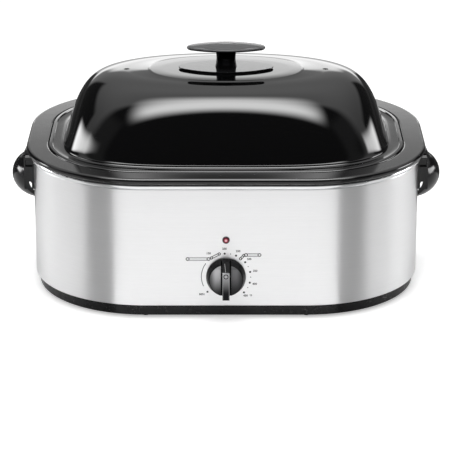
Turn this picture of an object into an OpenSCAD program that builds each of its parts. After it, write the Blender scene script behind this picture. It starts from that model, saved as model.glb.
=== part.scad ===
// Electric roaster oven: a steel body with a heated well, a lift-out roasting pan and a domed lid.
// +Z is up, the controls face -Y, and the origin is the centre of the body on the table.
// Most shells are sheet sections swept round one plan, a rectangle with large round corners. A
// section is drawn with x as the offset outward from the body's face and y as the height.

/* [Body] */
// Length of the steel body, left to right
body_length = 560; // [500:4:680]
// Depth of the steel body, front to back
body_depth = 424; // [390:2:510]
// Radius of the body's corners, seen from above
corner_radius = 166; // [138:1:178]
// Height of the steel band between base and trim
band_height = 173.5; // [150:0.5:210]
// Thickness of the band's sheet
band_wall = 0.8; // [0.6:0.1:1.2]
// Width of the band's turned-in edges
hem = 14; // [13:0.5:16]

/* [Base] */
// Height of the moulded base under the band
base_height = 17; // [14:0.5:22]
// Thickness of the base's walls
base_wall = 1.6; // [1.2:0.1:2.2]
// How far the base is set in from the band, at its top
base_inset = 2.6; // [1.5:0.1:4]
// Further inset of the base at its foot
base_taper = 3.4; // [2:0.2:5]
// How far the rubber feet hold the base off the table
foot_height = 3; // [2:0.5:6]
// Radius of a rubber foot
foot_radius = 11; // [8:0.5:14]

/* [Trim ring] */
// Height of the polished bead
bead_height = 7.6; // [6:0.2:10]
// How far the bead bulges from the band
bead_bulge = 5; // [3:0.5:7]
// Thickness of the ring's sheet
trim_wall = 1; // [0.8:0.1:1.2]
// How far the ring reaches in over the body's edge
trim_lap = 12; // [10:0.5:13]
// Dark joint between the band and the bead
shadow_gap = 1; // [0.6:0.1:2]

/* [Well] */
// Distance from the body's face to the inside of the well
well_offset = 41; // [38:0.5:50]
// Height of the well's floor above the table
well_floor_z = 50; // [44:1:54]
// Thickness of the well's sheet
well_wall = 0.8; // [0.6:0.1:1.2]
// Radius between the well's floor and wall
well_fillet = 18; // [12:1:22]
// Thickness of the insulation blanket
blanket = 12; // [8:0.5:14]
// Thickness of the heating strip
strip_wall = 2.5; // [2:0.1:3.5]
// Height of the heating strip
strip_height = 22; // [16:1:28]

/* [Roasting pan] */
// Space between the pan and the well's wall
pan_gap = 3.5; // [2.5:0.5:6]
// Space between the pan and the well's floor
pan_floor_gap = 6; // [4:0.5:10]
// Thickness of the enamelled sheet
pan_wall = 1.2; // [1:0.1:1.6]
// How far the pan's rim reaches past the body
rim_reach = 9.6; // [8:0.2:12]
// Diameter of the pan's rolled rim
roll = 8.9; // [8:0.1:11]
// Distance from the body's face to the step that holds the lid
ledge_offset = 20.5; // [19:0.5:24]
// Depth of that step below the rim
ledge_depth = 5.3; // [4:0.1:7]
// How much the wall leans inward towards the floor
pan_draft = 5; // [3:0.5:10]
// Radius between the pan's floor and wall
pan_fillet = 22; // [16:1:28]

/* [Lid] */
// Height of the dome above its flange
dome_height = 97.7; // [80:0.1:115]
// How upright the dome's ends are; less is more upright
dome_end_lean = 0.178; // [0.14:0.002:0.3]
// How upright the dome's long sides are; less is more upright
dome_side_lean = 0.297; // [0.2:0.002:0.45]
// How full the dome's shoulder is; more is flatter
dome_swell = 2.6; // [1.8:0.1:3]
// Squareness of the outline of the raised oval
oval_power = 2.12; // [2:0.02:2.6]
// Radius between the dome's foot and the flange
foot_fillet = 3.5; // [2:0.5:5]
// Thickness of the lid's sheet
lid_wall = 1; // [0.8:0.1:1.4]
// Diameter of the lid's rolled edge
lid_roll = 6; // [5:0.2:7]
// Half length of the raised oval on top
oval_length = 115; // [95:1:125]
// Half depth of the raised oval on top
oval_depth = 71; // [60:1:74]
// Height of the raised oval
oval_rise = 0.8; // [0.4:0.1:2]
// Width of the slope round the raised oval
oval_slope = 4; // [2:0.5:8]
// Radius of a vent hole
vent_radius = 2; // [1.5:0.1:3]
// Distance of the vent holes from the middle
vent_place = 145; // [128:1:160]

/* [Lid grip] */
// Half length of the oval plate under the grip
shield_length = 69; // [60:1:80]
// Half depth of that plate
shield_depth = 33; // [28:1:40]
// Thickness of that plate
shield_wall = 3; // [2:0.5:4]
// Half length of the grip's top
grip_length = 57; // [45:1:64]
// Half depth of the grip's top
grip_depth = 23; // [18:1:26]
// Thickness of the grip's edge
grip_edge = 4.6; // [4:0.2:6]
// Extra height of the grip's top in the middle
grip_crown = 4.8; // [2:0.2:6]
// Height of the stem between plate and grip
stem_height = 25.7; // [22:0.1:34]
// Half length of the stem's section
stem_length = 15.5; // [12:0.5:20]
// Half depth of the stem's section
stem_depth = 11; // [9:0.5:14]

/* [Side handles] */
// How far a handle stands out from the body
handle_reach = 36; // [32:1:44]
// Half width of a handle
handle_half = 48; // [40:1:52]
// Radius of the hood's round section
hood_radius = 30; // [26:1:32]
// Height of the hood's centre above the table
hood_z = 151; // [130:1:158]
// Thickness of the hood
hood_wall = 4.2; // [3:0.2:5]
// Thickness of an end lug, along the body
lug_wall = 12; // [10:0.5:14]
// Depth of an end lug, away from the body
lug_depth = 15; // [12:0.5:18]

/* [Controls] */
// Height of the temperature control above the table
control_z = 64; // [54:1:80]
// Radius of the knob at its foot
knob_radius = 28; // [24:0.5:32]
// Radius of the knob's front face
knob_face = 23.5; // [20:0.5:23.5]
// Depth of the knob without its bar
knob_depth = 15; // [12:0.5:18]
// Width of the bar that is gripped
bar_width = 10; // [8:0.5:12]
// Depth of the bar from the panel
bar_depth = 30; // [26:0.5:34]
// Width of the channel that the bar stands in
channel_width = 14.6; // [13:0.2:16]
// Radius of the thermostat's shaft
shaft_radius = 3; // [2.5:0.1:3.8]
// Height of the indicator lamp above the table
lamp_z = 119; // [112:1:135]
// Radius of the lamp's lens
lens_radius = 5.3; // [4.5:0.1:7]
// Radius of the gland's bore for the mains lead
gland_bore = 4; // [3:0.1:5]
// Height of the gland above the table
gland_z = 42; // [38:1:60]

/* [Fits] */
// Gap where one shell rests on another
seat = 0.3; // [0.2:0.05:0.5]
// Radial clearance of a shaft or screw in its hole
running = 0.05; // [0.03:0.01:0.1]
// Gap round a loose hole
loose = 1; // [0.6:0.1:1.5]

/* [Hidden] */
$fn = 96;

// Half lengths of the straight stretches of the plan
straight_x = body_length / 2 - corner_radius;
straight_y = body_depth / 2 - corner_radius;
front = -body_depth / 2;
back = body_depth / 2;
side = body_length / 2;

// Heights of the stack, from the table up
base_z = foot_height;
band_z = base_z + base_height;
band_top = band_z + band_height;
bead_z = band_top + shadow_gap;
trim_top = bead_z + bead_height;
well_lip = trim_top - trim_wall;
rim_z = trim_top + seat;
rim_top = rim_z + roll;
ledge_z = rim_top - ledge_depth;
pan_rest = ledge_z - pan_wall - seat;
shoulder = ledge_offset - 4;
lid_z = ledge_z + seat;
flange_z = lid_z + lid_roll - 1.8;
dome_top = flange_z + dome_height;
oval_z = dome_top + oval_rise;
shield_z = oval_z + shield_wall;
stem_top = shield_z + stem_height;

// Offsets of the nested shells, from the body's face inward
well_out = -well_offset + well_wall;
strip_in = well_out + seat;
strip_out = strip_in + strip_wall;
blanket_in = strip_out + seat;
blanket_out = blanket_in + blanket;
pan_out = -well_offset - pan_gap;
pan_floor = well_floor_z + pan_floor_gap;
lid_edge = -ledge_offset - pan_wall - loose;
band_in = front + band_wall;

// ---- outlines ----------------------------------------------------------------------------

function unit(v) = v / norm(v);
function left_of(v) = [-v[1], v[0]];
function flat(p) = [p[0], p[1]];

// Points of the arc that rounds corner b of the path a, b, c by the radius in b[2]
function corner(a, b, c) =
  let (u = unit(flat(a) - flat(b)), v = unit(flat(c) - flat(b)))
  let (half = acos(u * v) / 2, turn = 180 - 2 * half)
  let (centre = flat(b) + unit(u + v) * b[2] / sin(half))
  let (start = flat(b) + u * b[2] / tan(half) - centre)
  let (way = (u[0] * v[1] - u[1] * v[0]) > 0 ? -1 : 1)
  let (steps = max(2, ceil(turn / 15)))
  b[2] == 0 ? [flat(b)] : [
    for (i = [0:steps])
      let (g = way * turn * i / steps)
      centre + [start[0] * cos(g) - start[1] * sin(g), start[0] * sin(g) + start[1] * cos(g)]
  ];

// A path of [x, y, radius] corners with each corner rounded
function bent(p) = [
  flat(p[0]),
  for (i = [1:len(p) - 2]) each corner(p[i - 1], p[i], p[i + 1]),
  flat(p[len(p) - 1])
];

// Point i of the path q, moved to the left of the path by t
function beside(q, i, t) =
  let (n = len(q) - 1)
  let (a = unit(i == 0 ? q[1] - q[0] : q[i] - q[i - 1]))
  let (b = unit(i == n ? q[n] - q[n - 1] : q[i + 1] - q[i]))
  q[i] + (left_of(a) + left_of(b)) * t / (1 + a * b);

// A strip of sheet along a rounded path; a positive t lies to the left of the path
module sheet(p, t) {
  q = bent(p);
  polygon(concat(q, [for (i = [len(q) - 1:-1:0]) beside(q, i, t)]));
}

// Sweeps a section round the plan
module around() {
  for (m = [0, 1], n = [0, 1]) mirror([m, 0, 0]) mirror([0, n, 0]) {
    translate([straight_x, straight_y, 0])
      rotate_extrude(angle = 90) translate([corner_radius, 0]) children();
    translate([0, straight_y, 0])
      rotate([90, 0, 90]) linear_extrude(straight_x) translate([corner_radius, 0]) children();
    translate([straight_x, straight_y, 0])
      rotate([90, 0, 0]) linear_extrude(straight_y) translate([corner_radius, 0]) children();
  }
}

// The plan's outline, moved outward by off
module plan(off = 0) {
  r = corner_radius + off;
  for (x = [-straight_x, straight_x], y = [-straight_y, straight_y]) translate([x, y]) circle(r);
  square([2 * straight_x, 2 * (straight_y + r)], center = true);
  square([2 * (straight_x + r), 2 * straight_y], center = true);
}

// An oval of four arcs with half axes a and b and tips of radius e. Its long arcs have their
// centres this far past the middle, and the tips take this half angle away from them.
function long_centre(a, b, e) = (pow(a - e, 2) - pow(b - e, 2)) / (2 * (b - e));
function long_angle(a, b, e) = atan((a - e) / long_centre(a, b, e));

function arc(x, y, r, from, to, steps) =
  [for (i = [0:steps - 1]) let (g = from + (to - from) * i / steps) [x + r * cos(g), y + r * sin(g)]];

// Points of the oval's outline, moved outward by off
function oval(a, b, e, off = 0) =
  let (h = long_centre(a, b, e), g = long_angle(a, b, e))
  concat(
    arc(a - e, 0, e + off, g - 90, 90 - g, 12), arc(0, -h, b + h + off, 90 - g, 90 + g, 16),
    arc(e - a, 0, e + off, 90 + g, 270 - g, 12), arc(0, h, b + h + off, 270 - g, 270 + g, 16)
  );

function raised(points, z) = [for (q = points) [q[0], q[1], z]];
function reversed(list) = [for (i = [len(list) - 1:-1:0]) list[i]];
function shrunk(points, k) = [for (q = points) [q[0] * k, q[1] * k]];

// A closed skin through level rings of equally many points, from the lowest up
module skin(rings) {
  n = len(rings[0]);
  last = n * (len(rings) - 1);
  polyhedron([for (r = rings) each r], concat(
    [[for (i = [0:n - 1]) i], [for (i = [n - 1:-1:0]) last + i]],
    [for (k = [0:n:last - n], i = [0:n - 1]) [k + i, k + i + n, k + (i + 1) % n + n]],
    [for (k = [0:n:last - n], i = [0:n - 1]) [k + i, k + (i + 1) % n + n, k + (i + 1) % n]]
  ));
}

// Sweeps a section round that oval
module around_oval(a, b, e) {
  h = long_centre(a, b, e);
  g = long_angle(a, b, e);
  for (m = [0, 1]) mirror([0, m, 0]) translate([0, -h, 0]) rotate(90 - g)
    rotate_extrude(angle = 2 * g, $fn = 360) translate([b + h, 0]) children();
  for (m = [0, 1]) mirror([m, 0, 0]) translate([a - e, 0, 0]) rotate(g - 90)
    rotate_extrude(angle = 180 - 2 * g) translate([e, 0]) children();
}

// Turns a piece drawn with +Z towards the viewer so that it stands on the front panel
module on_front(z, depth = 0) { translate([0, front - depth, z]) rotate([90, 0, 0]) children(); }

// A round-headed screw, drawn with its head up and its neck at the origin
module screw(r, length, head_r, head_h) {
  translate([0, 0, -length]) cylinder(r = r, h = length + head_h / 2);
  rotate_extrude() polygon(concat([[0, 0]], [
    for (a = [0:15:90]) [head_r * cos(a), head_h * (0.35 + 0.65 * sin(a))]
  ], [[0, head_h]], [[0, 0]]));
  cylinder(r = head_r, h = head_h * 0.35);
}

// ---- body --------------------------------------------------------------------------------

gland_x = -80;
gland_neck = gland_bore + 3;
lug_screw_y = handle_half - lug_wall / 2;
lug_screw_z = hood_z + 12;
screw_r = 2;
panel_screw_x = 14;
base_screw_r = 1.6;
base_boss = 3.6;
base_screw_n = -(base_inset + base_taper + base_boss + 0.6);

// Places of the six screws that hold the base to the band's lower edge
module at_base_screws() {
  for (s = [-1, 1]) {
    for (x = [-1, 1]) translate([x * straight_x, s * (back + base_screw_n), 0]) children();
    translate([s * (side + base_screw_n), 0, 0]) children();
  }
}

module at_lug_screws() {
  for (s = [-1, 1], y = [-1, 1])
    translate([s * side, y * lug_screw_y, lug_screw_z]) rotate([0, s * 90, 0]) children();
}

module outer_shell() color("gainsboro") difference() {
  around() sheet([
    [-hem, band_z, 0], [0, band_z, 1.4], [0, band_top, 1.4], [-hem, band_top, 0]
  ], band_wall);
  on_front(control_z, -hem) cylinder(r = shaft_radius + loose, h = 2 * hem);
  for (x = [-1, 1]) on_front(control_z, -hem)
    translate([x * panel_screw_x, 0, 0]) cylinder(r = screw_r + running, h = 2 * hem);
  on_front(lamp_z, -hem) cylinder(r = lens_radius - loose + running, h = 2 * hem);
  translate([gland_x, back - hem, gland_z]) rotate([-90, 0, 0])
    cylinder(r = gland_neck + running, h = 2 * hem);
  at_lug_screws() translate([0, 0, -hem]) cylinder(r = screw_r + running, h = 2 * hem);
  at_base_screws() translate([0, 0, band_z - 1]) cylinder(r = base_screw_r + running, h = 3);
}

module trim_ring() color("silver") around() sheet([
  [-trim_lap + 3, band_top + trim_wall, 0], [-2.5, band_top + trim_wall, 0.4],
  [-2.5, bead_z + trim_wall, 0],
  [bead_bulge - trim_wall, bead_z + trim_wall, bead_height / 2 - trim_wall - 0.2],
  [bead_bulge - trim_wall, trim_top - trim_wall, bead_height / 2 - trim_wall - 0.2],
  [-trim_lap, trim_top - trim_wall, 0]
], -trim_wall);

vent_slot = [34, 4];
vent_pitch = 42.5;
vent_row = 78;
base_floor_n = -40;
base_foot_radius = 4;
foot_boss = 2.6;
centre_boss = [22, 7];
nut_recess = [16, 5];

module base_tray() color("dimgray") difference() {
  union() {
    around() sheet([
      [base_floor_n, base_z, 0], [-base_inset - base_taper, base_z, base_foot_radius],
      [-base_inset, band_z, base_wall + 0.4], [-hem + 1, band_z, 0]
    ], base_wall);
    translate([0, 0, base_z]) linear_extrude(base_wall) plan(base_floor_n + 2);
    at_base_screws() translate([0, 0, base_z]) cylinder(r = base_boss, h = base_height);
    translate([0, 0, base_z]) cylinder(r = centre_boss[0], h = centre_boss[1]);
    for (x = [-1, 1], y = [-1, 1]) translate([x * foot_x, y * foot_y, base_z])
      cylinder(r = foot_radius + 2, h = foot_boss);
  }
  at_base_screws() {
    translate([0, 0, base_z - 1]) cylinder(r = base_screw_r + running, h = base_height + 2);
    translate([0, 0, base_z - 1]) cylinder(r = base_boss - 0.8, h = 4);
  }
  translate([0, 0, base_z - 1]) cylinder(r = tie_r + running, h = centre_boss[1] + 2);
  translate([0, 0, base_z - 1]) cylinder(r = nut_recess[0], h = nut_recess[1] + 1);
  for (x = [-1, 1], y = [-1, 1]) translate([x * foot_x, y * foot_y, base_z - 1])
    cylinder(r = foot_neck + running, h = 6);
  for (row = [-1, 1], i = [-3:3])
    translate([i * vent_pitch, row * vent_row, base_z - 1]) linear_extrude(base_wall + 2) {
      square([vent_slot[0] - vent_slot[1], vent_slot[1]], center = true);
      for (e = [-1, 1]) translate([e * (vent_slot[0] - vent_slot[1]) / 2, 0])
        circle(d = vent_slot[1], $fn = 32);
    }
}

foot_spread = 62;
foot_x = straight_x + foot_spread;
foot_y = straight_y + foot_spread;
foot_neck = 4;
foot_seat = base_z + foot_boss;

module rubber_feet() color([0.08, 0.08, 0.08])
  for (x = [-1, 1], y = [-1, 1]) translate([x * foot_x, y * foot_y, 0])
    rotate_extrude() polygon([
      [0, 0], [foot_radius - 1, 0], [foot_radius, 1], [foot_radius, base_z],
      [foot_neck, base_z], [foot_neck, foot_seat], [foot_neck + 2, foot_seat],
      [foot_neck + 1.4, foot_seat + 2], [0, foot_seat + 3]
    ]);

module base_screws() color("silver") at_base_screws()
  translate([0, 0, base_z + 3]) rotate([180, 0, 0]) screw(base_screw_r, base_height, 2.6, 1.8);

// ---- heated well -------------------------------------------------------------------------

tie_r = 3;
tie_plate = [9, 2.4];
tie_tail = 0.6;
well_floor_n = -90;

module heating_well() color("lightgray") {
  around() sheet([
    [well_floor_n, well_floor_z, 0], [-well_offset, well_floor_z, well_fillet],
    [-well_offset, pan_rest, 3], [-shoulder, pan_rest, 1.2],
    [-shoulder, well_lip, 0.6], [-4, well_lip, 0]
  ], -well_wall);
  translate([0, 0, well_floor_z - well_wall]) linear_extrude(well_wall) plan(well_floor_n + 2);
}

module tie_bolt() color("silver") {
  top = well_floor_z - well_wall;
  translate([0, 0, base_z + tie_tail]) cylinder(r = tie_r, h = top - base_z - tie_tail);
  translate([0, 0, top - tie_plate[1]]) cylinder(r = tie_plate[0], h = tie_plate[1]);
}

module tie_sleeve() color("gray") difference() {
  low = base_z + centre_boss[1];
  high = well_floor_z - well_wall - tie_plate[1];
  translate([0, 0, low]) cylinder(r = tie_r + 4, h = high - low);
  translate([0, 0, low - 1]) cylinder(r = tie_r + 0.4, h = high - low + 2);
}

module tie_nut() color("silver") difference() {
  translate([0, 0, base_z + nut_recess[1] - 4]) cylinder(r = 1.9 * tie_r, h = 4, $fn = 6);
  translate([0, 0, base_z]) cylinder(r = tie_r + running, h = 6);
}

strip_z = [well_floor_z + 14, well_floor_z + 60];
strip_break = 8;

module heater_strip() color("tan") difference() {
  union() {
    for (z = strip_z) around() translate([strip_in, z]) square([strip_wall, strip_height]);
    translate([strip_break, back + strip_in, strip_z[0] + 1])
      cube([8, strip_wall, strip_z[1] - strip_z[0]]);
  }
  translate([-strip_break, back + strip_in - 1, strip_z[0] - 1])
    cube([2 * strip_break, strip_wall + 2, strip_z[1] + strip_height]);
}

module strip_clips() color("silver") for (z = strip_z)
  translate([-2 * strip_break, back + strip_out, z + strip_height - 9]) cube([4 * strip_break, 0.8, 7]);

window = [44, strip_z[1] - strip_z[0] + strip_height + 4];

module insulation_wrap() color("lemonchiffon") difference() {
  around() translate([blanket_in, well_floor_z + 4]) square([blanket, band_top - well_floor_z - 16]);
  translate([-window[0] / 2, back + blanket_in - 1, strip_z[0] - 2])
    cube([window[0], blanket + 2, window[1]]);
}

// ---- side handles ------------------------------------------------------------------------

// The hood is part of a ring about an upright axis inside the body
hood_axis = side + handle_reach - 64;
hood_ring = 64 - hood_radius;
hood_open = -57;

module hood_section(r, from) {
  polygon(concat([[-hood_ring, hood_z + r], [0, hood_z + r]],
    [for (i = [0:16]) let (g = 90 + (from - 90) * i / 16) [r * cos(g), hood_z + r * sin(g)]],
    [[0, hood_z], [-hood_ring, hood_z]]));
}

module handle() {
  difference() {
    union() {
      intersection() {
        translate([hood_axis, 0, 0]) rotate(-60) rotate_extrude(angle = 120)
          translate([hood_ring, 0]) difference() {
            hood_section(hood_radius, hood_open);
            hood_section(hood_radius - hood_wall, hood_open - 25);
            translate([-hood_ring, hood_z - 60]) square([hood_ring + 2, 60]);
          }
        translate([side - 4, -handle_half, 0]) cube([60, 2 * handle_half, 300]);
      }
      for (s = [0, 1]) mirror([0, s, 0]) lug();
      tab();
    }
    translate([0, 0, hood_z - 60]) linear_extrude(120) plan(seat);
    for (s = [-1, 1]) translate([side - 5, s * lug_screw_y, lug_screw_z]) rotate([0, 90, 0])
      cylinder(r = screw_r + running, h = 5 + lug_depth - 2);
  }
}

// An end lug: a box with a pocket in its end, standing on two short legs
module lug() {
  low = hood_z - 12;
  high = hood_z + hood_radius + 6;
  translate([side - 4, handle_half - lug_wall, 0]) difference() {
    translate([0, 0, low]) cube([4 + lug_depth, lug_wall, high - low]);
    translate([4 + 2.2, lug_wall - 5, high - 14]) cube([lug_depth - 4.4, 6, 11]);
    translate([4 + lug_depth / 2, -1, low + 8]) rotate([-90, 0, 0]) cylinder(r = 3.4, h = lug_wall + 2);
    translate([4 + lug_depth / 2 - 3.4, -1, low - 1]) cube([6.8, lug_wall + 2, 9]);
    translate([4 + lug_depth + 2, -1, high - 4]) rotate([0, -45, 0]) cube([10, lug_wall + 2, 10]);
  }
}

// The tapered tab on top of the hood
module tab() {
  low = hood_z + hood_radius - hood_wall;
  high = hood_z + hood_radius + 6;
  translate([0, 10, 0]) rotate([90, 0, 0]) linear_extrude(20)
    polygon([[side - 4, low], [side + 20, low], [side + 15, high], [side - 4, high]]);
}

module right_handle() color([0.1, 0.1, 0.1]) handle();
module left_handle() color([0.1, 0.1, 0.1]) mirror([1, 0, 0]) handle();

module handle_screws() color("silver") at_lug_screws()
  translate([0, 0, -band_wall]) rotate([180, 0, 0]) screw(screw_r, band_wall + lug_depth - 4, 4, 2.6);

// ---- controls ----------------------------------------------------------------------------

bracket_wall = 1;
body_half = [17, 14];
body_deep = 18;
body_back = -band_wall - bracket_wall;

module thermostat_bracket() color("silver") on_front(control_z, body_back) difference() {
  union() {
    translate([-24, -body_half[1] - 3, 0]) cube([48, 2 * body_half[1] + 6, bracket_wall]);
    for (s = [0, 1]) mirror([s, 0, 0])
      translate([body_half[0] + seat, -body_half[1], -12]) cube([bracket_wall, 13, 12]);
  }
  translate([0, 0, -1]) cylinder(r = shaft_radius + loose, h = 3);
  for (x = [-1, 1]) translate([x * panel_screw_x, 0, -1]) cylinder(r = screw_r + running, h = 3);
}

module thermostat_body() color("ivory") on_front(control_z, body_back) difference() {
  translate([-body_half[0], -body_half[1], -body_deep])
    cube([2 * body_half[0], 2 * body_half[1], body_deep]);
  translate([0, 0, -body_deep + 4]) cylinder(r = shaft_radius + running, h = body_deep);
  for (x = [-1, 1]) translate([x * panel_screw_x, 0, -9]) cylinder(r = screw_r + running, h = 10);
}

module thermostat_screws() color("silver") on_front(control_z)
  for (x = [-1, 1]) translate([x * panel_screw_x, 0, 0]) screw(screw_r, 9, 3.5, 2.2);

shaft_end = knob_depth - 2.5;

module thermostat_shaft() color("silver") on_front(control_z) difference() {
  translate([0, 0, body_back - body_deep + 4.5])
    cylinder(r = shaft_radius, h = shaft_end - body_back + body_deep - 4.5);
  translate([-5, shaft_radius - 0.8, knob_gap / 2]) cube([10, 5, 20]);
}

knob_gap = 0.8;
skirt_depth = 3.6;
hub_radius = 7;

module control_knob() color([0.12, 0.12, 0.12]) on_front(control_z) difference() {
  union() {
    difference() {
      rotate_extrude() polygon([
        [0, knob_gap], [knob_radius - 0.6, knob_gap], [knob_radius, knob_gap + 0.6],
        [knob_radius, knob_gap + 2], [knob_face + 0.8, knob_depth - 0.7], [knob_face, knob_depth],
        [knob_face - 3, knob_depth + 0.3], [0, knob_depth - 0.4]
      ]);
      translate([-channel_width / 2, -40, 6]) cube([channel_width, 80, 30]);
      translate([0, 0, 0]) cylinder(r = knob_radius - 3, h = skirt_depth);
    }
    translate([-bar_width / 2, 0, 0]) rotate([90, 0, 90]) linear_extrude(bar_width) bar_side();
    translate([0, 0, knob_gap]) cylinder(r = hub_radius, h = 8);
  }
  difference() {
    cylinder(r = shaft_radius + running, h = shaft_end + 0.5);
    translate([-5, shaft_radius - 0.8 + running, -1]) cube([10, 5, 30]);
  }
}

// Side view of the bar: x is up the knob, y is away from the panel
module bar_side() polygon([
  [-25.5, skirt_depth + 1], [-25.5, bar_depth - 3], [-24.6, bar_depth - 0.8], [-22.5, bar_depth],
  [15, bar_depth], [16.4, bar_depth - 0.8], [17, bar_depth - 2.4],
  [25.6, knob_depth + 0.6], [26.6, knob_depth - 3], [26.6, skirt_depth + 1]
]);

module knob_spring_clip() color("silver") on_front(control_z) difference() {
  translate([0, 0, knob_gap + 0.4]) cylinder(r = hub_radius + 0.9, h = 1.8);
  cylinder(r = hub_radius + running, h = 5);
  translate([-2, 0, 0]) cube([4, 20, 5]);
}

lamp_r = lens_radius - loose;

module indicator_lens() color([0.6, 0.05, 0.1, 0.8]) on_front(lamp_z) {
  rotate_extrude() polygon(concat([[0, 0]], [
    for (a = [0:10:90]) [lens_radius * cos(a), 0.8 + 2.2 * sin(a)]
  ], [[0, 0]]));
  cylinder(r = lens_radius, h = 0.8);
  translate([0, 0, -5]) cylinder(r = lamp_r, h = 5);
}

module indicator_lamp() color("ivory") on_front(lamp_z, -5) {
  translate([0, 0, -14]) cylinder(r = lamp_r - 0.6, h = 14);
}

module indicator_clip() color("silver") on_front(lamp_z, -band_wall) difference() {
  translate([-8, -8, -0.8]) cube([16, 16, 0.8]);
  translate([0, 0, -2]) cylinder(r = lamp_r + running, h = 4);
}

// ---- mains side --------------------------------------------------------------------------

module on_back(x, z) { translate([x, back, z]) rotate([-90, 0, 0]) children(); }

module cord_gland() color([0.1, 0.1, 0.1]) on_back(gland_x, gland_z) rotate_extrude() polygon([
  [gland_bore, -9], [gland_neck, -9], [gland_neck, 0], [gland_neck + 3, 0],
  [gland_neck + 3, 2.4], [gland_neck + 2, 3.6], [gland_bore + 2, 8], [gland_bore, 8]
]);

module gland_nut() color([0.15, 0.15, 0.15]) on_back(gland_x, gland_z) difference() {
  translate([0, 0, -band_wall - 3.4]) cylinder(r = gland_neck + 3, h = 3.4, $fn = 6);
  translate([0, 0, -10]) cylinder(r = gland_neck + running, h = 12);
}

lead_r = 1.6;
lead_z = control_z + 6;
lead_n = -12;
block_half = 25;
fuse_x = [60, 84];

module terminal_block() color("white") difference() {
  translate([-block_half, back - band_wall - 16, lead_z - 8]) cube([2 * block_half, 16, 16]);
  for (x = [-18:12:18]) translate([x, back - band_wall - 8, lead_z + 3]) cylinder(r = 2.2, h = 6);
}

module thermal_fuse() color("silver") translate([fuse_x[0], back + lead_n, lead_z])
  rotate([0, 90, 0]) cylinder(r = 3.2, h = fuse_x[1] - fuse_x[0]);

module internal_leads() color("firebrick") {
  difference() {
    around() translate([lead_n, lead_z]) circle(lead_r, $fn = 32);
    translate([-body_half[0], front, 0]) cube([2 * body_half[0], 40, 200]);
    translate([-block_half, back - 40, 0]) cube([2 * block_half, 40, 200]);
    translate([fuse_x[0], back - 40, 0]) cube([fuse_x[1] - fuse_x[0], 40, 200]);
  }
  for (x = [-1, 1]) translate([x * (strip_break + 3), back + strip_out, lead_z])
    rotate([-90, 0, 0]) cylinder(r = lead_r, h = -strip_out - band_wall - 16);
}

// ---- roasting pan ------------------------------------------------------------------------

module roasting_pan() color([0.1, 0.1, 0.11]) {
  curl = roll / 2 - pan_wall - 0.1;
  pan_floor_n = pan_out - 45;
  around() sheet([
    [pan_floor_n, pan_floor, 0], [pan_out - pan_draft, pan_floor, pan_fillet],
    [pan_out, ledge_z - pan_wall, 2.5], [-ledge_offset, ledge_z - pan_wall, pan_wall + 0.2],
    [-ledge_offset, rim_top - pan_wall, 1],
    [rim_reach - pan_wall, rim_top - pan_wall, curl],
    [rim_reach - pan_wall, rim_z + pan_wall, curl],
    [rim_reach - roll + pan_wall, rim_z + pan_wall, curl],
    [rim_reach - roll + pan_wall, rim_z + roll / 2 + 0.6, 0]
  ], pan_wall);
  translate([0, 0, pan_floor]) linear_extrude(pan_wall) plan(pan_floor_n + 2);
}

// ---- lid ---------------------------------------------------------------------------------

flange_width = 19.6;
dome_foot = lid_edge - flange_width;
roll_radius = lid_roll / 2 - 0.4;
dome_low = flange_z + foot_fillet;
dome_steps = [0, 9, 18, 27, 36, 44, 51, 57, 63, 68, 73, 78, 82, 86];
ring_points = 80;
lip = 2;
foot_power = plan_power(dome_foot);

// Power of the superellipse whose corners meet those of the plan moved outward by off
function plan_power(off) =
  let (a = side + off, b = back + off, k = a * straight_x + b * straight_y, d = a * a + b * b)
  let (c = pow(straight_x, 2) + pow(straight_y, 2) - pow(corner_radius + off, 2))
  -ln(2) / ln((k + sqrt(k * k - d * c)) / d);

// Half axes of the dome's ring at the angle v, which runs from 0 at its foot towards 90
function dome_half(v, wall) = [
  (side + dome_foot - foot_fillet / 2 - wall) * pow(cos(v), dome_end_lean),
  (back + dome_foot - foot_fillet / 2 - wall) * pow(cos(v), dome_side_lean)
];
function dome_share(v) = pow(sin(v), dome_swell);
function dome_z(v, wall) = dome_low + (dome_top - dome_low - wall) * dome_share(v);
function dome_power(v) = foot_power + (oval_power - foot_power) * dome_share(v);

// A level ring whose outline lies between an ellipse, at power 2, and a rectangle
function ring(half, power, z) = [
  for (i = [0:ring_points - 1])
    let (g = 360 * (i + 0.5) / ring_points)
    let (x = half[0] * pow(abs(cos(g)), 2 / power), y = half[1] * pow(abs(sin(g)), 2 / power))
    [sign(cos(g)) * x, sign(sin(g)) * y, z]
];

// Rings of one face of the pressed dome, from this height in the flange to the raised oval
function dome_rings(wall, low) = concat(
  [for (g = [0:30:60]) let (r = foot_fillet + wall, out = r * (1 - sin(g)))
    ring(dome_half(0, wall) + [out, out], foot_power, low + r * (1 - cos(g)))],
  [for (v = dome_steps) ring(dome_half(v, wall), dome_power(v), dome_z(v, wall))],
  [for (k = [0, 1])
    ring([oval_length - k * oval_slope, oval_depth - k * oval_slope], oval_power,
      dome_top - wall + k * oval_rise)]
);

// Rings of the lip that the dome keeps inside the thickness of the flange
function lip_rings() =
  let (out = foot_fillet + lip, half = dome_half(0, 0) + [out, out])
  [for (k = [0.7, 0.3]) ring(half, foot_power, flange_z - k * lid_wall)];

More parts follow.
